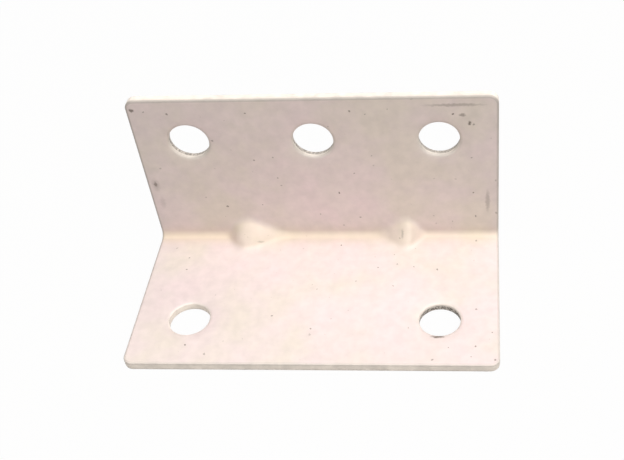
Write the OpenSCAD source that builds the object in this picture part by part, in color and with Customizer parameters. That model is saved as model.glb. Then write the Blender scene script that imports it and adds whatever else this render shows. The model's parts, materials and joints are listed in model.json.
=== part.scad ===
// Angle bracket, folded from one piece of plated sheet steel.
// The lower leg lies on the XY plane and the upper leg stands at the back of it, towards +Y.
// The origin is the middle of the bottom of the bounding box. All sizes are in millimetres.

/* [Sheet] */
// Thickness of the sheet
sheet_t = 1.5; // [1:0.1:2.5]
// Length of the bracket along its fold
length = 58; // [50:1:120]
// Height of the upper leg, from the underside of the lower leg
upper_leg = 30; // [26:1:60]
// Depth of the lower leg, from the back of the upper leg
lower_leg = 30; // [26:1:60]
// Radius inside the fold
fold_r = 1.2; // [0.6:0.1:3]
// Radius of the four free corners
corner_r = 1.5; // [1:0.1:5]
// Radius of the rolled arris that the press leaves round the inner faces
roll_r = 0.2; // [0.1:0.05:0.4]

/* [Screw holes] */
// Diameter of the screw holes
hole_d = 6.5; // [4:0.1:8]
// Radius of the rolled arris round the holes, on the inner faces
hole_roll_r = 0.4; // [0.1:0.05:0.6]
// Number of holes in the upper leg
upper_holes = 3; // [2:1:4]
// Number of holes in the lower leg
lower_holes = 2; // [2:1:4]
// Left end of the bracket to the first hole of each row
hole_from_left = 8.7; // [7:0.1:12]
// Last hole of each row to the right end of the bracket
hole_from_right = 9.3; // [7:0.1:12]
// Top edge of the upper leg to its row of holes
upper_row_drop = 8.2; // [7:0.1:12]
// Front edge of the lower leg to its row of holes
lower_row_inset = 9.3; // [7:0.1:12]

/* [Stiffening dimples] */
// Left end of the bracket to the nose of the first dimple
dimple_from_left = 14.2; // [12:0.1:18]
// Nose of the last dimple to the right end of the bracket
dimple_from_right = 16.1; // [12:0.1:18]
// How far a dimple climbs the upper leg, from the inner face of the lower leg
dimple_climb = 4; // [3.8:0.1:7]
// How far a dimple reaches along the lower leg, from the inner face of the upper leg
dimple_reach = 4; // [3.8:0.1:7]
// Share of its climb and reach that a dimple keeps at its blunt left end
blunt_share = 0.62; // [0.4:0.02:0.8]
// How far a dimple runs to the left of its nose, along the fold
dimple_left = 1.7; // [0.8:0.1:4]
// Length of a dimple's nose, along the fold
dimple_nose = 1.2; // [0.6:0.1:2.4]
// How far a dimple runs to the right of its nose's left end
dimple_right = 3.4; // [2.9:0.1:6]
// The same three for the first dimple, which was struck askew
askew_left = 1; // [0.8:0.1:4]
// Length of its nose
askew_nose = 2.4; // [0.6:0.1:4]
// How far it runs to the right
askew_right = 7.3; // [4.5:0.1:9]
// Height of a dimple's nose above the inner face of the lower leg
nose_climb = 2.3; // [2:0.1:3.4]
// Distance of a dimple's nose from the inner face of the upper leg
nose_reach = 2.2; // [2:0.1:3.2]
// Radius of a dimple's nose
nose_r = 0.6; // [0.3:0.1:1]

/* [Hidden] */
plate_colour = "#dccfc6";
hole_r = hole_d / 2;
// The axis of the fold lies this far from both outer faces
fold_centre = sheet_t + fold_r;
upper_flat = upper_leg - fold_centre;
lower_flat = lower_leg - fold_centre;
// Radius of the small balls that end a dimple's flanks inside the metal
foot_r = 0.3;
// How far a cutter runs past the face that it cuts
overrun = 0.1;
$fn = 96;

// Places of n holes in a row, spread evenly between the two end holes
function row(n) = [for (i = [0 : n - 1])
    hole_from_left + i * (length - hole_from_left - hole_from_right) / (n - 1)];

// Outline of a flat leg: x along the fold, y away from the fold, round free corners
module leg_outline(flat) {
    square([length, flat - corner_r]);
    translate([corner_r, 0])
        square([length - 2 * corner_r, flat]);
    for (x = [corner_r, length - corner_r])
        translate([x, flat - corner_r])
            circle(corner_r);
}

// Section of what is missing at a rolled arris, for a body in the +x +y quadrant
module arris_gap(r) {
    difference() {
        translate([-overrun, -overrun])
            square(r + overrun);
        translate([r, r])
            circle(r);
    }
}

// The gap of a rolled arris along a straight edge: the edge runs along +y, the body is on its +x side
module straight_roll(run) {
    translate([0, 0, sheet_t])
        rotate([-90, 0, 0])
            linear_extrude(run)
                arris_gap(roll_r);
}

// The same round a free corner
module corner_roll() {
    rotate_extrude(angle = 90)
        translate([corner_r, sheet_t])
            rotate(180)
                arris_gap(roll_r);
}

// All rolled arrises of a leg's outline
module outline_roll(flat) {
    side = flat - corner_r;
    straight_roll(side);
    translate([length, side, 0])
        rotate(180)
            straight_roll(side);
    translate([corner_r, flat, 0])
        rotate(-90)
            straight_roll(length - 2 * corner_r);
    translate([corner_r, side, 0])
        rotate(90)
            corner_roll();
    translate([length - corner_r, side, 0])
        corner_roll();
}

// A punched hole: a straight wall, with the arris rolled over on the inner face
module punched_hole() {
    translate([0, 0, -overrun])
        cylinder(r = hole_r, h = sheet_t + 2 * overrun);
    rotate_extrude()
        translate([hole_r, sheet_t])
            mirror([0, 1])
                arris_gap(hole_roll_r);
}

// A flat leg with its holes: outer face at z = 0, fold at y = 0
module leg(flat, holes, inset) {
    difference() {
        linear_extrude(sheet_t)
            leg_outline(flat);
        outline_roll(flat);
        for (x = row(holes))
            translate([x, flat - inset, 0])
                punched_hole();
    }
}

// Turns a section in radius and length into a quarter turn about the fold's axis
module round_the_fold() {
    translate([0, -fold_centre, fold_centre])
        rotate([0, 90, 0])
            rotate_extrude(angle = 90)
                children();
}

// The quarter turn between the legs, with its inner arrises rolled at both ends
module fold() {
    difference() {
        round_the_fold()
            translate([fold_r, 0])
                square([sheet_t, length]);
        round_the_fold()
            translate([fold_r, 0])
                arris_gap(roll_r);
        round_the_fold()
            translate([fold_r, length])
                mirror([0, 1])
                    arris_gap(roll_r);
    }
}

// A form that fills the inner corner. Flanks run from its nose to the legs: those to the left are short
// and end bluntly, those to the right run out to a tip in the fold
module dimple_form(left, nose, right) {
    on_fold = fold_centre - (fold_r + foot_r) / sqrt(2);
    hull() {
        for (x = [0, nose])
            translate([x, -sheet_t - nose_reach + nose_r, sheet_t + nose_climb - nose_r])
                sphere(nose_r, $fn = 32);
        for (foot = [[nose / 2, 1], [-left, blunt_share]]) {
            translate([foot.x, -sheet_t + foot_r, sheet_t + foot.y * dimple_climb])
                sphere(foot_r, $fn = 16);
            translate([foot.x, -sheet_t - foot.y * dimple_reach, sheet_t - foot_r])
                sphere(foot_r, $fn = 16);
        }
        for (x = [-left, right])
            translate([x, -on_fold, on_fold])
                sphere(foot_r, $fn = 16);
    }
}

// Both dimples, at their places along the fold
module dimples() {
    translate([dimple_from_left, 0, 0])
        dimple_form(askew_left, askew_nose, askew_right);
    translate([length - dimple_from_right, 0, 0])
        dimple_form(dimple_left, dimple_nose, dimple_right);
}

// The folded sheet. A dimple is pressed from outside, so its hollow is its form moved out by the sheet
module bracket() {
    color(plate_colour)
        translate([-length / 2, lower_leg / 2, 0])
            difference() {
                union() {
                    translate([0, -fold_centre, 0])
                        mirror([0, 1, 0])
                            leg(lower_flat, lower_holes, lower_row_inset);
                    translate([0, 0, fold_centre])
                        rotate([90, 0, 0])
                            leg(upper_flat, upper_holes, upper_row_drop);
                    fold();
                    dimples();
                }
                translate([0, sheet_t, -sheet_t])
                    dimples();
            }
}

bracket();
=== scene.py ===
# An angle bracket: one sheet of steel, punched, folded once, dimpled in the fold and zinc plated.
# The dressed sheet stands for the plain solid. The floor, the light and the camera come after it.
import bpy
import json
import numpy as np
from math import radians
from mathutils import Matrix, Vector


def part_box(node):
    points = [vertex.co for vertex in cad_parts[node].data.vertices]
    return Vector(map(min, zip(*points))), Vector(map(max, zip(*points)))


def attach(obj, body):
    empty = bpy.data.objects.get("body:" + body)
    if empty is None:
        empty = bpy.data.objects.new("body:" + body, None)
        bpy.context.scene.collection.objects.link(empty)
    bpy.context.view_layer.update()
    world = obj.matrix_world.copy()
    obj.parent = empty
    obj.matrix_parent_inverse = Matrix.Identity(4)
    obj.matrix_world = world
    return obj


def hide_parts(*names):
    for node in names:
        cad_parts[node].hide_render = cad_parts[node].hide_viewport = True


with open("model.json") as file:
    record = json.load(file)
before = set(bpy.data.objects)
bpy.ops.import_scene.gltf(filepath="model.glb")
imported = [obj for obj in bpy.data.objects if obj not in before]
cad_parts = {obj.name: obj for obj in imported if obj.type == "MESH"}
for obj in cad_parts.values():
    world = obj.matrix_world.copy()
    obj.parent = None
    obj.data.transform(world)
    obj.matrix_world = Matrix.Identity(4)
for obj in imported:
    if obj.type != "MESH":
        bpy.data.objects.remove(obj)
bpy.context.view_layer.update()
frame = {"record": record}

mm = 0.001
low, high = (np.array(corner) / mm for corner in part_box("bracket"))
mounts = {mount["name"]: mount for mount in frame["record"]["mounts"]}

# The sheet, in millimetres. It is laid out flat first: u runs along the fold from the left end, v runs from
# the free edge of the upper leg over the fold to the free edge of the lower leg, and depth goes from the
# inner face outwards.
bracket = {
    "sheet": 1.5,
    "foldRadius": 1.2,               # inside the fold
    "cornerRadius": 1.5,             # the four free corners
    "edgeRoll": (0.4, 0.2),          # arris drawn down round the outline, on the inner faces: width, depth
    "holeRoll": (0.55, 0.28),        # the same round the holes, where the punch went in
    "holeDish": (1.7, 0.15, 1.5),    # dish drawn down round each hole: width, depth, how steeply it ends
    # smooth band of a cut wall, below the rolled arris: burnish * (burnishLimit - the wall's tear shade)
    "burnish": 0.8,
    "burnishLimit": 1.2,
    "arrisFade": 0.3,                # how far below the roll the arris's dark line fades
    "lineSharpness": {"outline": 0.5, "holes": 1.4},    # how closely that line keeps to the cut side
    "tearBack": 0.05,                # how far the torn band leans back
    "tearRoughness": 0.012,
    "burrRadius": 0.06,              # outer arris
    # how dark the torn band and the arris are: outline at the top and at the front edge, then each hole
    "tearShade": {"outline": (0.05, 0.2), "holes": (0.75, 0.75, 0.75, 0.2, 1.0)},
    "arrisShade": {"outline": (0.9, 0.5), "holes": (0.5, 0.5, 0.5, 0.2, 0.3)},
    # steps of the rolled arris and of the torn band, then what the finish gets at the two rings of the
    # smooth band and at the three of the outer arris
    "rollSteps": 6,
    "tearSteps": 5,
    "smoothRings": {"torn": (0, 0.3), "cut": (1, 1), "near": (0.3, 0)},
    "burrRings": {"torn": (0.8, 0.3, 0), "cut": (1, 0.6, 0.2), "near": (0.4, 0.8, 1)},
    # slow waves of the legs: full height, then each sine's millimetres to a radian, along, across or both,
    # and its start
    "waveHeight": 0.035,
    "waveAlong": (9.1, 0.7),
    "waveAcross": (7.3, 2.1),
    "waveSlant": (5.2, 11.0, 4.0),
    "fineReach": 4.4,                # fine mesh up each leg from the fold
    "fineStep": 0.2,
    "openStep": 0.8,
    "foldSteps": 18,
    "edgeSteps": 7,
    "holeSteps": 26,
    "bluntSteps": 10,                # more of them in the first hole's column, where the first dimple begins
    "fanSteps": 8,                   # rings from a hole to the edge of its block
    "holeLanding": 0.1,              # flat ring of mesh past a hole's dish
    "weldWithin": 2e-4,
    "mapUnit": 100,                  # millimetres to one unit of the flat sheet's UV map
    "seed": 5,
    # the film in the fold, with painted shade in the crease: middle and half width as shares of the fold's
    # run, what is left of it on a dimple, the rise that counts as a dimple, and how much it fades from the
    # left end to the right
    "foldTint": {"middle": 0.6, "half": 0.6, "onDimple": 0.6, "rise": 0.5, "fade": 0.35},
    # slow drift of the film and painted light: middle in u and v, half width, half height, how much thinner,
    # how much paler
    # the paler column is painted light above 0 and painted shade below it: near the fold, across the legs
    # and on the dimples' flanks
    "patches": (
        (29.0, 0.0, 60.0, 8.0, -0.06, -0.015),    # along the top edge
        (3.0, 3.0, 9.0, 14.0, -0.1, -0.01),       # upper left corner
        (29.0, 23.5, 60.0, 5.0, -0.06, 0.03),     # above the fold
        (29.0, 33.0, 60.0, 3.5, 0.0, 0.06),       # below the fold
        (6.0, 45.0, 13.0, 7.5, 0.03, -0.09),      # left end of the lower leg
        (48.0, 19.0, 16.0, 9.0, 0.02, 0.02),      # lower right of the upper leg
        (46.0, 27.7, 22.0, 1.0, 0.0, -0.06),      # top of the fold, towards the right
        (40.7, 28.8, 1.0, 2.2, 0.0, 0.1),         # blunt end of the second dimple
        (17.0, 30.7, 1.8, 1.1, 0.0, -0.05),       # lower flank of the first dimple
    ),
}

# The dimples, in millimetres, from the inner faces of the legs.
dimples = {
    # nose's left end along the fold, then from there: run to the left, length of the nose, run to the right
    "forms": ((14.2, 1.0, 2.4, 7.3), (41.9, 1.7, 1.2, 3.4)),    # the first was struck askew
    "climb": 4.0,
    "reach": 4.0,
    "bluntShare": 0.62,              # share of climb and reach at the blunt left end
    "noseClimb": 2.3,
    "noseReach": 2.2,
    "noseRadius": 0.6,
    "footRadius": 0.3,
    "softness": 0.28,                # rounding of the ridges between the flanks
    "fillet": 0.9,                   # rounding where the flanks run out into the sheet
}

length = high[0] - low[0]
axisBack = bracket["sheet"] + bracket["foldRadius"]      # the fold's axis, from both outer faces
upperFlat = high[2] - low[2] - axisBack
lowerFlat = high[1] - low[1] - axisBack
foldRun = (bracket["foldRadius"] + bracket["sheet"] / 2) * np.pi / 2
sheetRun = upperFlat + foldRun + lowerFlat
outerInset = bracket["tearBack"] + bracket["burrRadius"]
quarterTurn = np.array([[0, 1], [-1, 0]])

# middles of the holes on the flat sheet, from the record's mounts, and the blocks of mesh that hold them
holeRadius = mounts["upper_middle_hole"]["dims"]["r_mm"]
rowMiddle = mounts["upper_screw_holes"]["pos_m"][0] / mm - low[0]
rowHalf = mounts["upper_screw_holes"]["dims"]["spacing_x_mm"] / 2
holeU = [rowMiddle - rowHalf, rowMiddle, rowMiddle + rowHalf]
upperHoleV = high[2] - mounts["upper_screw_holes"]["pos_m"][2] / mm
lowerHoleV = sheetRun - (mounts["lower_screw_holes"]["pos_m"][1] / mm - low[1])
holeBlocks = ((2, 2), (5, 2), (8, 2), (2, 8), (8, 8))


def turned(points, quarters):
    # points turned by whole quarter turns, exactly
    return points @ np.linalg.matrix_power(quarterTurn, quarters % 4)


def gridLines(inset):
    # the lines of the flat sheet's mesh, in eleven blocks each way: even steps between one stop and the next
    half = holeRadius + bracket["holeDish"][0] + bracket["holeLanding"]
    corner, reach = bracket["cornerRadius"], bracket["fineReach"]
    edgeSteps, holeSteps = bracket["edgeSteps"], bracket["holeSteps"]
    first, second = dimples["forms"]
    spread = dimples["fillet"]
    stopsU = [inset, corner, holeU[0] - half, holeU[0] + half, first[0] + first[3] + spread,
              holeU[1] - half, holeU[1] + half, second[0] - second[1] - spread,
              holeU[2] - half, holeU[2] + half, length - corner, length - inset]
    stopsV = [inset, corner, upperHoleV - half, upperHoleV + half, upperFlat - reach,
              upperFlat, upperFlat + foldRun, upperFlat + foldRun + reach,
              lowerHoleV - half, lowerHoleV + half, sheetRun - corner, sheetRun - inset]
    stepsU = {0: edgeSteps, 2: holeSteps + bracket["bluntSteps"], 5: holeSteps, 8: holeSteps, 10: edgeSteps}
    stepsV = {0: edgeSteps, 2: holeSteps, 5: bracket["foldSteps"], 8: holeSteps, 10: edgeSteps}
    lines = []
    for stops, known, fineBlocks in ((stopsU, stepsU, (3, 7)), (stopsV, stepsV, (4, 6))):
        lines.append([])
        for i, (a, b) in enumerate(zip(stops, stops[1:])):
            step = bracket["fineStep"] if i in fineBlocks else bracket["openStep"]
            count = known.get(i) or int(np.ceil((b - a) / step))
            lines[-1].append(np.linspace(a, b, count + 1))
    return lines


def plainBlock(us, vs):
    # every u with every v
    return np.stack(np.meshgrid(us, vs, indexing="ij"), -1)


def cornerBlock(us, vs, inset, i, j):
    # a square stretched onto a quarter of a disc: each side is shortened by the square root of 1 less half
    # the other side squared, so its two outer sides land on the arc and its inner sides keep even steps
    corner = bracket["cornerRadius"]
    across = np.linspace(0, 1, len(us)) if i else np.linspace(1, 0, len(us))
    along = np.linspace(0, 1, len(vs)) if j else np.linspace(1, 0, len(vs))
    s, t = np.meshgrid(across, along, indexing="ij")
    u = s * np.sqrt(1 - t**2 / 2) * (corner - inset)
    v = t * np.sqrt(1 - s**2 / 2) * (corner - inset)
    u = length - corner + u if i else corner - u
    v = sheetRun - corner + v if j else corner - v
    return np.stack([u, v], -1)


def holeBlock(us, vs, inset):
    # four fans, each a straight blend from a quarter of the hole's rim to one side of its square
    middle = np.array([us[0] + us[-1], vs[0] + vs[-1]]) / 2
    half = (us[-1] - us[0]) / 2
    out = np.linspace(0, 1, bracket["fanSteps"] + 1)[:, None, None]
    fans = []
    for side in range(4):
        along = np.linspace(-1, 1, len(vs if side % 2 else us))
        rim = np.stack([np.cos(along * np.pi / 4), np.sin(along * np.pi / 4)], -1) * (holeRadius + inset)
        square = np.stack([np.ones_like(along), along], -1) * half
        fans.append(middle + turned(rim * (1 - out) + square * out, side - 1))
    return fans


def facePatches(inset, holeInset):
    # one face of the flat sheet, drawn in from its outline by inset and from its holes by holeInset
    linesU, linesV = gridLines(inset)
    patches = []
    for i, us in enumerate(linesU):
        for j, vs in enumerate(linesV):
            if (i, j) in holeBlocks:
                patches += holeBlock(us, vs, holeInset)
            elif i in (0, 10) and j in (0, 10):
                patches.append(cornerBlock(us, vs, inset, i, j))
            else:
                patches.append(plainBlock(us, vs))
    return patches


def outlineLoop():
    # the sheet's outline as points and outward directions: four straight edges, each followed by an arc
    # with the steps of the corner's block
    linesU, linesV = gridLines(0)
    corner = bracket["cornerRadius"]
    edgeU = np.concatenate([line[:-1] for line in linesU[1:-1]])
    edgeV = np.concatenate([line[:-1] for line in linesV[1:-1]])
    s = np.linspace(0, 1, bracket["edgeSteps"] + 1)
    arc = np.concatenate([np.stack([np.sqrt(1 - s**2 / 2), s * np.sqrt(0.5)], -1),
                          np.stack([s * np.sqrt(0.5), np.sqrt(1 - s**2 / 2)], -1)[-2::-1]])
    backU = np.concatenate([line[:0:-1] for line in linesU[-2:0:-1]])
    backV = np.concatenate([line[:0:-1] for line in linesV[-2:0:-1]])
    edges = [np.stack([edgeU, 0 * edgeU], -1), np.stack([0 * edgeV + length, edgeV], -1),
             np.stack([backU, 0 * backU + sheetRun], -1), np.stack([0 * backV, backV], -1)]
    middles = [(length - corner, corner), (length - corner, sheetRun - corner),
               (corner, sheetRun - corner), (corner, corner)]
    points, outward = [], []
    for k, (edge, middle) in enumerate(zip(edges, middles)):
        bend = turned(arc, k - 1)[:-1]
        points += [edge, middle + corner * bend]
        outward += [0 * edge + turned(np.array([[1, 0]]), k - 1), bend]
    points, outward = np.concatenate(points), np.concatenate(outward)
    return np.vstack([points, points[:1]]), np.vstack([outward, outward[:1]])


def holeLoops():
    # each hole's rim, as points and directions into the metal, the other way round, so that the wall faces
    # the hole
    linesU, linesV = gridLines(0)
    loops = []
    for i, j in holeBlocks:
        us, vs = linesU[i], linesV[j]
        middle = np.array([us[0] + us[-1], vs[0] + vs[-1]]) / 2
        quarters = []
        for side in range(4):
            along = np.linspace(-1, 1, len(vs if side % 2 else us))[:-1] * np.pi / 4
            quarters.append(turned(np.stack([np.cos(along), np.sin(along)], -1), side - 1))
        rim = np.concatenate(quarters)
        rim = np.vstack([rim, rim[:1]])[::-1]
        loops.append((middle + rim * holeRadius, -rim))
    return loops


def cutWall(points, outward, roll, sharpness, shades, noise):
    # a wall carried round a loop: a quarter of an ellipse for the rolled arris, an upright smooth band, a
    # rough torn band that leans back, and a small round at the outer face. The last columns are how dark and
    # torn it is, how much of it is cut face, and how near it is to an arris. Over the roll the last two are
    # powers of the sine of its turn. Shades go evenly from the top edge to the front edge
    tearShade, arrisShade = (np.interp(points[:, 1:], (0, sheetRun), pair) for pair in shades)
    sheet, burr, back = bracket["sheet"], bracket["burrRadius"], bracket["tearBack"]
    smoothRings, burrRings = bracket["smoothRings"], bracket["burrRings"]
    turn = np.linspace(0, np.pi / 2, bracket["rollSteps"] + 1)
    tear = np.linspace(0, 1, bracket["tearSteps"] + 1)[1:]
    end = np.linspace(0, np.pi / 2, len(burrRings["torn"]) + 1)[1:]
    tearTop = roll[1] + bracket["burnish"] * (bracket["burnishLimit"] - shades[0][0])
    fadeEnd = roll[1] + min(bracket["arrisFade"], (tearTop - roll[1]) / 2)
    inset = np.concatenate([roll[0] * (1 - np.sin(turn)), [0, 0], back * tear,
                            back + burr * (1 - np.cos(end))])
    depth = np.concatenate([roll[1] * (1 - np.cos(turn)), [fadeEnd, tearTop],
                            tearTop + (sheet - burr - tearTop) * tear, sheet - burr + burr * np.sin(end)])
    wide = roll[0] / bracket["edgeRoll"][0]
    torn = np.concatenate([0 * turn, smoothRings["torn"], 0 * tear + 1, burrRings["torn"]])
    cut = np.concatenate([np.sin(turn) ** (2 * wide), smoothRings["cut"], 0 * tear + 1, burrRings["cut"]])
    near = np.concatenate([np.sin(turn) ** sharpness, smoothRings["near"], 0 * tear, burrRings["near"]])
    # the torn band's roughness: three neighbouring draws added up, over 1.5
    rough = noise.normal(0, bracket["tearRoughness"], (len(points) - 1, len(depth)))
    rough = (rough + np.roll(rough, 1, 0) + np.roll(rough, -1, 0)) / 1.5
    rough = np.vstack([rough, rough[:1]]) * (torn == 1)
    flat = points[:, None] - np.maximum(inset + rough, 0)[..., None] * outward[:, None]
    values = np.stack(np.broadcast_arrays(depth, torn * tearShade, cut, near * arrisShade), -1)
    return np.concatenate([flat, values], -1)


def weld(grids):
    # grids of points made one mesh: each square of four neighbours is a face, and points that fall in the
    # same small cell are one. The cells' odd start keeps round sizes away from their sides
    corners, start = [], 0
    for grid in grids:
        number = np.arange(grid[..., 0].size).reshape(grid.shape[:2]) + start
        start += number.size
        squares = np.stack([number[:-1, :-1], number[1:, :-1], number[1:, 1:], number[:-1, 1:]], -1)
        corners.append(squares.reshape(-1, 4))
    points = np.concatenate([grid.reshape(-1, 6) for grid in grids])
    oddStart = np.sqrt(0.1)
    cell = np.floor(points[:, :3] / bracket["weldWithin"] + oddStart).astype(np.int64)
    first, merged = np.unique(cell, axis=0, return_index=True, return_inverse=True)[1:]
    return points[first], merged.reshape(-1)[np.concatenate(corners)]


def outOfFlat(u, v):
    # slow waves: half the height, and a third of it times a product of two sines and half a slanted sine
    (stepU, startU), (stepV, startV) = bracket["waveAlong"], bracket["waveAcross"]
    slantU, slantV, slantStart = bracket["waveSlant"]
    wave = np.sin(u / stepU + startU) * np.sin(v / stepV + startV)
    wave = wave + 0.5 * np.sin(u / slantU + v / slantV + slantStart)
    return bracket["waveHeight"] * (0.5 + wave / 3)


def holeDish(u, v):
    # how far the inner face dips near a hole: depth * (1 - distance from the rim / width)^steepness
    width, depth, steepness = bracket["holeDish"]
    middles = [(x, upperHoleV) for x in holeU] + [(x, lowerHoleV) for x in holeU[::2]]
    fromMiddle = np.min([np.hypot(u - middleU, v - middleV) for middleU, middleV in middles], 0)
    return depth * np.clip(1 - (fromMiddle - holeRadius) / width, 0, 1) ** steepness


def foldSheet(u, v, depth):
    # straight down the upper leg, a quarter turn about the fold's axis, then straight out on the lower leg
    turn = np.clip((v - upperFlat) / foldRun, 0, 1) * np.pi / 2
    radius = bracket["foldRadius"] + depth
    before = np.maximum(upperFlat - v, 0)
    after = np.maximum(v - upperFlat - foldRun, 0)
    y = high[1] - axisBack + radius * np.cos(turn) - after
    z = low[2] + axisBack - radius * np.sin(turn) + before
    return low[0] + u, y, z


def flankPlane(middles, radii):
    # the plane that rests on three balls: its normal is the upright of their middles, leant just enough
    # that every ball touches it
    a, b, c = middles
    upright = np.cross(b - a, c - a)
    upright = upright * np.sign(upright[2]) / np.linalg.norm(upright)
    shrink = np.array([radii[0] - radii[1], radii[0] - radii[2]])
    lean = np.linalg.lstsq(np.array([b - a, c - a]), shrink, rcond=None)[0]
    normal = lean + upright * np.sqrt(1 - lean @ lean)
    return normal, normal @ a + radii[0]


def softMax(a, b, blend):
    # the larger of two heights, plus near^2 / (4 * blend), where near is how far within blend they come
    near = np.maximum(blend - np.abs(a - b), 0)
    return np.maximum(a, b) + near**2 / (4 * blend)


def dimpleHeight(u, across):
    # height of the pressed forms above the corner, seen along the fold's halving line: the lowest of the
    # planes that rest on a form's nose and feet, rounded by -softness * log(sum(exp(-height / softness)))
    root, foot, softness = np.sqrt(2), dimples["footRadius"], dimples["softness"]
    radii = {"nose": dimples["noseRadius"], "noseEnd": dimples["noseRadius"]}
    climb, reach, share = dimples["climb"], dimples["reach"], dimples["bluntShare"]
    inFold = bracket["foldRadius"] - (bracket["foldRadius"] + foot) / root
    noseUp, noseOut = dimples["noseClimb"] - radii["nose"], dimples["noseReach"] - radii["nose"]
    sides = (("nose", "bluntUp", "bluntOut"), ("nose", "up", "bluntUp"), ("nose", "out", "bluntOut"),
             ("nose", "noseEnd", "up"), ("nose", "noseEnd", "out"),
             ("noseEnd", "up", "tip"), ("noseEnd", "out", "tip"))
    top = np.full_like(u, -np.inf)
    for place, left, nose, right in dimples["forms"]:
        # each ball's middle: along the fold, above the lower leg, out from the upper leg
        balls = {"nose": (0, noseUp, noseOut), "noseEnd": (nose, noseUp, noseOut),
                 "up": (nose / 2, climb, -foot), "out": (nose / 2, -foot, reach),
                 "bluntUp": (-left, climb * share, -foot), "bluntOut": (-left, -foot, reach * share),
                 "tip": (right, inFold, inFold)}
        heights = []
        for names in sides:
            middles = [np.array([x, (up - out) / root, (up + out) / root])
                       for x, up, out in map(balls.get, names)]
            normal, rest = flankPlane(middles, [radii.get(name, foot) for name in names])
            heights.append((rest - normal[0] * (u - place) - normal[1] * across) / normal[2])
        lowest = np.min(heights, 0)
        rounded = lowest - softness * np.log(np.exp((lowest - np.array(heights)) / softness).sum(0))
        top = np.maximum(top, rounded)
    return top


def pressDimples(u, y, z, depth):
    # each point rises along the halving line of the corner to the pressed form, a sheet's thickness lower
    # outside; the rise comes back too
    root = np.sqrt(2)
    fromUpper = high[1] - bracket["sheet"] - y
    fromLower = z - low[2] - bracket["sheet"]
    height = (fromLower + fromUpper) / root
    form = dimpleHeight(u, (fromLower - fromUpper) / root) - depth * root
    rise = (softMax(height, form, dimples["fillet"]) - height) / root
    return y - rise, z + rise, rise


def filmAndShadeInFold(u, v, rise):
    # how thick and yellow the film is, with the fold's painted shade: exp(-(distance from the fold's middle
    # / half width)^2), blended on a dimple with its own value, all of it fading evenly from the left end to
    # the right
    tint = bracket["foldTint"]
    pressed = np.minimum(rise / tint["rise"], 1)
    across = (v - upperFlat - foldRun * tint["middle"]) / (foldRun * tint["half"])
    film = np.exp(-across ** 2) * (1 - pressed) + tint["onDimple"] * pressed
    return film * (1 - tint["fade"] * u / length)


def filmDriftAndPaintedShading(u, v):
    # how much thinner the film is, and how much paler it is painted (painted light above 0, painted shade
    # below): each patch adds its amounts times exp(-(across^2 + along^2))
    drift = np.zeros((2, len(u)))
    for middleU, middleV, halfU, halfV, *amounts in bracket["patches"]:
        fade = np.exp(-((u - middleU) / halfU) ** 2 - ((v - middleV) / halfV) ** 2)
        drift += np.outer(amounts, fade)
    return drift


def makeBracket():
    # both faces and all the cut walls of the flat sheet, welded, then folded and pressed. The dish round a
    # hole dies out evenly through the sheet
    noise = np.random.default_rng(bracket["seed"])
    grids = []
    for insets, depth, inner in (((bracket["edgeRoll"][0], bracket["holeRoll"][0]), 0.0, True),
                                 ((outerInset, outerInset), bracket["sheet"], False)):
        for patch in facePatches(*insets):
            depths, unmarked = np.full_like(patch[..., :1], depth), np.zeros((*patch.shape[:2], 3))
            grid = np.concatenate([patch, depths, unmarked], -1)
            grids.append(grid[::-1] if inner else grid)
    shades = [bracket["tearShade"], bracket["arrisShade"]]
    sharpness = bracket["lineSharpness"]
    outlineShades = [shade["outline"] for shade in shades]
    grids.append(cutWall(*outlineLoop(), bracket["edgeRoll"], sharpness["outline"], outlineShades, noise))
    for i, loop in enumerate(holeLoops()):
        holeShades = [[shade["holes"][i]] * 2 for shade in shades]
        grids.append(cutWall(*loop, bracket["holeRoll"], sharpness["holes"], holeShades, noise))
    flat, faces = weld(grids)
    u, v, depth, torn, cut, near = flat.T
    dip = holeDish(u, v) * (1 - depth / bracket["sheet"])
    x, y, z = foldSheet(u, v, depth - outOfFlat(u, v) + dip)
    y, z, rise = pressDimples(u, y, z, depth)

    mesh = bpy.data.meshes.new("foldedSheet")
    mesh.from_pydata((np.stack([x, y, z], -1) * mm).tolist(), [], faces.tolist())
    mesh.shade_smooth()
    loopVertex = np.empty(len(mesh.loops), np.int32)
    mesh.loops.foreach_get("vertex_index", loopVertex)
    # the flat sheet as a UV map, for marks that belong to the surface
    sheetMap = mesh.uv_layers.new(name="flatSheet")
    flatPlaces = np.stack([u, v], -1)[loopVertex] / bracket["mapUnit"]
    sheetMap.uv.foreach_set("vector", flatPlaces.astype(np.float32).ravel())
    thinner, paler = filmDriftAndPaintedShading(u, v)
    for name, values in (("torn", torn), ("cut", cut), ("arris", near), ("inFold", filmAndShadeInFold(u, v, rise)),
                         ("outside", depth / bracket["sheet"]), ("thinner", thinner), ("paler", paler)):
        mesh.attributes.new(name, "FLOAT", "POINT").data.foreach_set("value", values.astype(np.float32))
    piece = bpy.data.objects.new("foldedSheet", mesh)
    bpy.context.collection.objects.link(piece)
    edges = np.sort(np.stack([faces, np.roll(faces, -1, 1)], -1).reshape(-1, 2), 1)
    openEdges = int((np.unique(edges, axis=0, return_counts=True)[1] != 2).sum())
    print("sheet:", len(flat), "points,", 2 * len(faces), "triangles,", openEdges, "open edges")
    return piece


folded = makeBracket()
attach(folded, "root")
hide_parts("bracket")


def linear(hexColour):
    # an sRGB hex value as linear red, green, blue and full cover: ((value + 0.055) / 1.055)^2.4, and
    # value / 12.92 where it is very dark
    values = [int(hexColour[i:i + 2], 16) / 255 for i in (1, 3, 5)]
    lit = [value / 12.92 if value <= 0.04045 else ((value + 0.055) / 1.055) ** 2.4 for value in values]
    return lit + [1.0]


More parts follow.
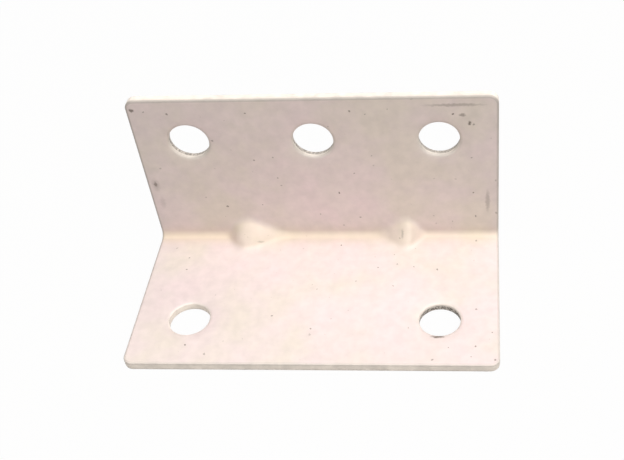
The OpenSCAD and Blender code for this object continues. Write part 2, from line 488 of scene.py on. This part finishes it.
def addNode(tree, kind, settings=None, inputs=None):
    # a node with its settings; an input that is a socket is linked, anything else is set
    node = tree.nodes.new(kind)
    for name, value in (settings or {}).items():
        setattr(node, name, value)
    for name, value in (inputs or {}).items():
        if isinstance(value, bpy.types.NodeSocket):
            tree.links.new(value, node.inputs[name])
        else:
            node.inputs[name].default_value = value
    return node


# Zinc plate with a pale passivated film, on cold-rolled sheet. Sizes are in millimetres.
plate = {
    "clearFilm": "#dfd2cf",
    "thickFilm": "#dcd2c9",
    "thinFilm": "#e2d2d2",
    "foldColour": "#dccbaa",         # the film is thickest and yellowest in the fold; its darker colour there is also painted shade
    "cutColour": "#fbf2e9",
    "tornColour": "#4a433c",
    "arrisColour": "#7d7873",
    "soilColour": "#57493a",
    "foldCover": 0.6,                # how much of the fold's and the arris's colour shows at most
    "arrisCover": 0.75,
    "metallic": 0.1,                 # the film scatters the light, so little of the metal's mirror shows
    "roughness": (0.55, 0.65),
    "noiseRange": (0.3, 0.7),        # where most of a noise's values lie
    "blotch": 9.0,                   # patches of thicker and thinner film
    "filmStops": (0.33, 0.5, 0.67),  # thick, clear and thin film along the noise
    "mottle": 1.6,
    "mottleShade": (0.94, 1.04),
    "cutShade": (0.84, 1.08),        # the same mottle on a cut wall
    "grain": 0.35,                   # the rolled sheet's grain, drawn coarse enough to show
    "grainStrength": 0.12,
    "grainHeight": 0.05,
    "speckSpacing": 3.2,
    "speckRadius": 0.22,
    "speckChance": 0.45,             # share of the cells with no speck
    "speckEdge": 0.015,              # its soft edge, as a share of the spacing
    "speckShade": (0.2, 0.75),
    "tearGrain": 0.3,                # streaks of the torn band
    "tearRange": (0.4, 0.6),
    "tearCover": (0.4, 0.95),
    "raggedGrain": 0.5,              # what is drawn on the flat sheet is drawn a little ragged
    "raggedShift": 0.6,
    "markFade": (0.5, 1.2),          # a mark is whole within the first share of its size, gone at the second
    # soiled marks on the inner faces, and painted shade on the dimples: middle in u and v, half width, half
    # height, strength
    "marks": (
        (0.95, 1.75, 0.35, 0.35, 0.75),    # upper left corner
        (1.35, 16.8, 0.3, 0.65, 0.65),     # left edge: a spot, its halo and a faint one below
        (1.35, 17.0, 0.7, 1.4, 0.2),
        (1.7, 20.8, 0.5, 1.3, 0.14),
        (53.5, 5.0, 0.3, 0.35, 0.8),       # two up and to the right of the upper right hole
        (52.4, 3.4, 0.6, 0.3, 0.5),
        (51.3, 1.5, 4.6, 0.3, 0.35),       # scrape along the top edge
        (56.2, 21.0, 0.38, 2.3, 0.3),      # rub near the right edge
        # the next two are painted shade on the dimples
        (41.9, 28.8, 0.22, 1.5, 0.3),      # nose of the second dimple
        (17.7, 30.9, 0.6, 0.25, 0.3),      # lower flank of the first
        (48.5, 52.0, 1.1, 0.3, 0.8),       # front rim of the lower right hole
    ),
}


def rampStops(node, stops):
    # sets a colour ramp's stops, each a place from 0 to 1 and a linear colour
    elements = node.color_ramp.elements
    while len(elements) < len(stops):
        elements.new(0.5)
    for element, (place, colour) in zip(elements, stops):
        element.position, element.color = place, colour


def between(fromRange, toRange):
    # the settings that stretch one range onto another
    return {"From Min": fromRange[0], "From Max": fromRange[1], "To Min": toRange[0], "To Max": toRange[1]}


def raggedPlaces(tree, sheetPlace):
    # places on the flat sheet, each moved by (noise - 0.5) * raggedShift, so that what is drawn on them
    # isn't quite round
    unit, shift = bracket["mapUnit"], plate["raggedShift"] / bracket["mapUnit"]
    ragged = addNode(tree, "ShaderNodeTexNoise", None,
                     {"Vector": sheetPlace, "Scale": unit / plate["raggedGrain"], "Detail": 3.0})
    centred = addNode(tree, "ShaderNodeVectorMath", {"operation": "SUBTRACT"},
                      {0: ragged.outputs["Color"], 1: (0.5, 0.5, 0.5)})
    moved = addNode(tree, "ShaderNodeVectorMath", {"operation": "MULTIPLY_ADD"},
                    {0: centred.outputs["Vector"], 1: (shift, shift, 0.0), 2: sheetPlace})
    return moved.outputs["Vector"]


def soilAndShadeMarks(tree, places):
    # how dark each place is with soil, and with painted shade on the dimples: the largest of the marks'
    # strengths, each an ellipse that fades at its edge
    unit, soilAndShade = bracket["mapUnit"], 0.0
    for u, v, halfWidth, halfHeight, strength in plate["marks"]:
        local = addNode(tree, "ShaderNodeMapping", None,
                        {"Vector": places, "Scale": (unit / halfWidth, unit / halfHeight, 1.0),
                         "Location": (-u / halfWidth, -v / halfHeight, 0.0)})
        far = addNode(tree, "ShaderNodeVectorMath", {"operation": "LENGTH"}, {0: local.outputs["Vector"]})
        spot = addNode(tree, "ShaderNodeMapRange", None,
                       {"Value": far.outputs["Value"], **between(plate["markFade"], (strength, 0.0))})
        darker = addNode(tree, "ShaderNodeMath", {"operation": "MAXIMUM"},
                         {0: spot.outputs["Result"], 1: soilAndShade})
        soilAndShade = darker.outputs["Value"]
    return soilAndShade


def passivatedZincPlate():
    # satin metal, a little warm; the film's thickness varies in soft patches, so the tint drifts between
    # straw and pink; fine dark specks sit in the film; cut walls are duller where the sheet tore
    # painted light and shade also lie in the patches, in the fold and on the dimples
    material = bpy.data.materials.new("passivatedZincPlate")
    material.use_nodes = True
    tree = material.node_tree
    shader = tree.nodes["Principled BSDF"]
    place = addNode(tree, "ShaderNodeTexCoord").outputs["Object"]
    sheetPlace = raggedPlaces(tree, addNode(tree, "ShaderNodeUVMap", {"uv_map": "flatSheet"}).outputs["UV"])
    names = ("torn", "cut", "arris", "inFold", "outside", "thinner", "paler")
    torn, cut, arris, inFold, outside, thinner, paler = (
        addNode(tree, "ShaderNodeAttribute", {"attribute_name": name}).outputs["Fac"] for name in names)

    # the film: its thickness picks the tint, a finer mottle shades it, and painted light and shade from the
    # patches make it paler or darker
    blotch = addNode(tree, "ShaderNodeTexNoise", None,
                     {"Vector": place, "Scale": 1 / (plate["blotch"] * mm), "Detail": 3.0})
    blotch = addNode(tree, "ShaderNodeMath", {"operation": "ADD"}, {0: blotch.outputs["Fac"], 1: thinner})
    film = addNode(tree, "ShaderNodeValToRGB", None, {"Fac": blotch.outputs["Value"]})
    tints = [linear(plate[name]) for name in ("thickFilm", "clearFilm", "thinFilm")]
    rampStops(film, list(zip(plate["filmStops"], tints)))
    mottle = addNode(tree, "ShaderNodeTexNoise", None,
                     {"Vector": place, "Scale": 1 / (plate["mottle"] * mm), "Detail": 4.0})
    shade = addNode(tree, "ShaderNodeMapRange", None,
                    {"Value": mottle.outputs["Fac"], **between(plate["noiseRange"], plate["mottleShade"])})
    # painted light and shade from the patches
    shade = addNode(tree, "ShaderNodeMath", {"operation": "ADD"}, {0: shade.outputs["Result"], 1: paler})
    mottled = addNode(tree, "ShaderNodeMix", {"data_type": "RGBA", "blend_type": "MULTIPLY"},
                      {"Factor": 1.0, "A": film.outputs["Color"], "B": shade.outputs["Value"]})

    # specks: a round spot at the middle of some cells, the cell's own random value deciding its size
    cells = addNode(tree, "ShaderNodeTexVoronoi", {"voronoi_dimensions": "2D"},
                    {"Vector": sheetPlace, "Scale": bracket["mapUnit"] / plate["speckSpacing"]})
    chance = addNode(tree, "ShaderNodeSeparateColor", None, {"Color": cells.outputs["Color"]})
    largest = plate["speckRadius"] / plate["speckSpacing"]
    size = addNode(tree, "ShaderNodeMapRange", None,
                   {"Value": chance.outputs["Red"], **between((plate["speckChance"], 1.0), (0.0, largest))})
    inside = addNode(tree, "ShaderNodeMath", {"operation": "SUBTRACT"},
                     {0: size.outputs["Result"], 1: cells.outputs["Distance"]})
    speck = addNode(tree, "ShaderNodeMapRange", None,
                    {"Value": inside.outputs["Value"], **between((0.0, plate["speckEdge"]), (0.0, 1.0))})
    dark = addNode(tree, "ShaderNodeMapRange", None,
                   {"Value": chance.outputs["Green"], **between((0.0, 1.0), plate["speckShade"])})
    speck = addNode(tree, "ShaderNodeMath", {"operation": "MULTIPLY"},
                    {0: speck.outputs["Result"], 1: dark.outputs["Result"]})
    specked = addNode(tree, "ShaderNodeMix", {"data_type": "RGBA"},
                      {"Factor": speck.outputs["Value"], "A": mottled.outputs["Result"],
                       "B": linear(plate["soilColour"])})
    # the fold's colour: yellower film, and painted shade darkening the crease
    deep = addNode(tree, "ShaderNodeMath", {"operation": "MULTIPLY"}, {0: inFold, 1: plate["foldCover"]})
    creased = addNode(tree, "ShaderNodeMix", {"data_type": "RGBA"},
                      {"Factor": deep.outputs["Value"], "A": specked.outputs["Result"],
                       "B": linear(plate["foldColour"])})

    # cut walls: barer metal, a dark line at each arris, streaks where the sheet tore
    bared = addNode(tree, "ShaderNodeMapRange", None,
                    {"Value": mottle.outputs["Fac"], **between(plate["noiseRange"], plate["cutShade"])})
    cutMetal = addNode(tree, "ShaderNodeMix", {"data_type": "RGBA", "blend_type": "MULTIPLY"},
                       {"Factor": 1.0, "A": linear(plate["cutColour"]), "B": bared.outputs["Result"]})
    faced = addNode(tree, "ShaderNodeMix", {"data_type": "RGBA"},
                    {"Factor": cut, "A": creased.outputs["Result"], "B": cutMetal.outputs["Result"]})
    # darker towards each arris
    arrisDarkening = addNode(tree, "ShaderNodeMath", {"operation": "MULTIPLY"}, {0: arris, 1: plate["arrisCover"]})
    edged = addNode(tree, "ShaderNodeMix", {"data_type": "RGBA"},
                    {"Factor": arrisDarkening.outputs["Value"], "A": faced.outputs["Result"],
                     "B": linear(plate["arrisColour"])})
    streaks = addNode(tree, "ShaderNodeTexNoise", None,
                      {"Vector": place, "Scale": 1 / (plate["tearGrain"] * mm), "Detail": 2.0})
    streaked = addNode(tree, "ShaderNodeMapRange", None,
                       {"Value": streaks.outputs["Fac"], **between(plate["tearRange"], plate["tearCover"])})
    dull = addNode(tree, "ShaderNodeMath", {"operation": "MULTIPLY"},
                   {0: torn, 1: streaked.outputs["Result"]})
    wall = addNode(tree, "ShaderNodeMix", {"data_type": "RGBA"},
                   {"Factor": dull.outputs["Value"], "A": edged.outputs["Result"],
                    "B": linear(plate["tornColour"])})

    # soil, and painted shade on the dimples, on the inner side of the sheet only
    inner = addNode(tree, "ShaderNodeMath", {"operation": "SUBTRACT"}, {0: 1.0, 1: outside})
    soilAndShade = addNode(tree, "ShaderNodeMath", {"operation": "MULTIPLY"},
                     {0: soilAndShadeMarks(tree, sheetPlace), 1: inner.outputs["Value"]})
    coloured = addNode(tree, "ShaderNodeMix", {"data_type": "RGBA"},
                       {"Factor": soilAndShade.outputs["Value"], "A": wall.outputs["Result"],
                        "B": linear(plate["soilColour"])})
    tree.links.new(coloured.outputs["Result"], shader.inputs["Base Color"])

    sheen = addNode(tree, "ShaderNodeMapRange", None,
                    {"Value": mottle.outputs["Fac"], **between(plate["noiseRange"], plate["roughness"])})
    tree.links.new(sheen.outputs["Result"], shader.inputs["Roughness"])
    grain = addNode(tree, "ShaderNodeTexNoise", None,
                    {"Vector": place, "Scale": 1 / (plate["grain"] * mm), "Detail": 2.0})
    bump = addNode(tree, "ShaderNodeBump", None,
                   {"Height": grain.outputs["Fac"], "Strength": plate["grainStrength"],
                    "Distance": plate["grainHeight"] * mm})
    tree.links.new(bump.outputs["Normal"], shader.inputs["Normal"])
    shader.inputs["Metallic"].default_value = plate["metallic"]
    return material


folded.data.materials.append(passivatedZincPlate())
print("finish made")


def seenShare(tree, share):
    # a share for a camera, glossy or transmitted ray and 0 for any other: the largest of Light Path's three
    # answers, times the share
    path = addNode(tree, "ShaderNodeLightPath")
    seen = addNode(tree, "ShaderNodeMath", {"operation": "MAXIMUM"},
                   {0: path.outputs["Is Camera Ray"], 1: path.outputs["Is Glossy Ray"]})
    seen = addNode(tree, "ShaderNodeMath", {"operation": "MAXIMUM"},
                   {0: seen.outputs["Value"], 1: path.outputs["Is Transmission Ray"]})
    seen = addNode(tree, "ShaderNodeMath", {"operation": "MULTIPLY"}, {0: seen.outputs["Value"], 1: share})
    return seen.outputs["Value"]


# The floor: pale paper. A camera, glossy or transmitted ray sees it near white and still keeps some shadow.
stage = {
    "size": 3.0,                     # metres
    "below": 0.02,                   # millimetres under the bracket
    "colour": "#bdbbb8",
    "roughness": 0.9,
    "white": 0.97,
}


def makeFloor():
    # one large square, just under the bracket
    half, z = stage["size"] / 2, (low[2] - stage["below"]) * mm
    mesh = bpy.data.meshes.new("paperFloor")
    corners = [(-half, -half, z), (half, -half, z), (half, half, z), (-half, half, z)]
    mesh.from_pydata(corners, [], [(0, 1, 2, 3)])
    floor = bpy.data.objects.new("paperFloor", mesh)
    bpy.context.collection.objects.link(floor)
    material = bpy.data.materials.new("whitePaper")
    material.use_nodes = True
    tree = material.node_tree
    shader = tree.nodes["Principled BSDF"]
    shader.inputs["Base Color"].default_value = linear(stage["colour"])
    shader.inputs["Roughness"].default_value = stage["roughness"]
    glow = addNode(tree, "ShaderNodeEmission", None, {"Color": (1, 1, 1, 1), "Strength": 1.0})
    both = addNode(tree, "ShaderNodeMixShader", None,
                   {0: seenShare(tree, stage["white"]), 1: shader.outputs["BSDF"],
                    2: glow.outputs["Emission"]})
    tree.links.new(both.outputs["Shader"], tree.nodes["Material Output"].inputs["Surface"])
    mesh.materials.append(material)


makeFloor()

# The light: one large soft lamp above, a little to the right. The room looks white and lights nothing.
light = {
    "roomSeen": 0.987,               # how white the room looks
    "lampPlace": (0.16, -0.12, 0.56),    # metres
    "lampSize": 0.8,                 # metres
    "lampPower": 7.4,
    "lampColour": "#fffcf8",
}


def makeLight():
    # the white room, and the square lamp turned to face the bracket
    world = bpy.data.worlds.new("paleRoom")
    world.use_nodes = True
    tree = world.node_tree
    room = tree.nodes["Background"]
    room.inputs["Color"].default_value = (1, 1, 1, 1)
    tree.links.new(seenShare(tree, light["roomSeen"]), room.inputs["Strength"])
    bpy.context.scene.world = world
    lamp = bpy.data.lights.new("softLamp", "AREA")
    lamp.size = light["lampSize"]
    lamp.energy = light["lampPower"]
    lamp.color = linear(light["lampColour"])[:3]
    holder = bpy.data.objects.new("softLamp", lamp)
    bpy.context.collection.objects.link(holder)
    holder.location = light["lampPlace"]
    aim = -holder.location
    holder.rotation_mode = "QUATERNION"
    holder.rotation_quaternion = aim.to_track_quat("-Z", "Y")


makeLight()

# The camera looks down into the corner from the front, above its right end.
view = {
    "place": (27.5, -112.5, 121.0),  # millimetres
    "turn": (46.5, 3.4, 3.25),       # degrees
    "lens": 59.0,
    "sensor": 36.0,
    "shift": (-0.15, 0.01),
    "clip": (0.005, 10.0),           # metres
}


def makeCamera():
    # the camera at its place
    camera = bpy.data.cameras.new("camera")
    camera.lens = view["lens"]
    camera.sensor_width = view["sensor"]
    camera.shift_x, camera.shift_y = view["shift"]
    camera.clip_start, camera.clip_end = view["clip"]
    holder = bpy.data.objects.new("camera", camera)
    bpy.context.collection.objects.link(holder)
    holder.location = [value * mm for value in view["place"]]
    holder.rotation_euler = [radians(value) for value in view["turn"]]
    bpy.context.scene.camera = holder


makeCamera()
bpy.context.scene.view_settings.view_transform = "Standard"
print("floor, light and camera made")
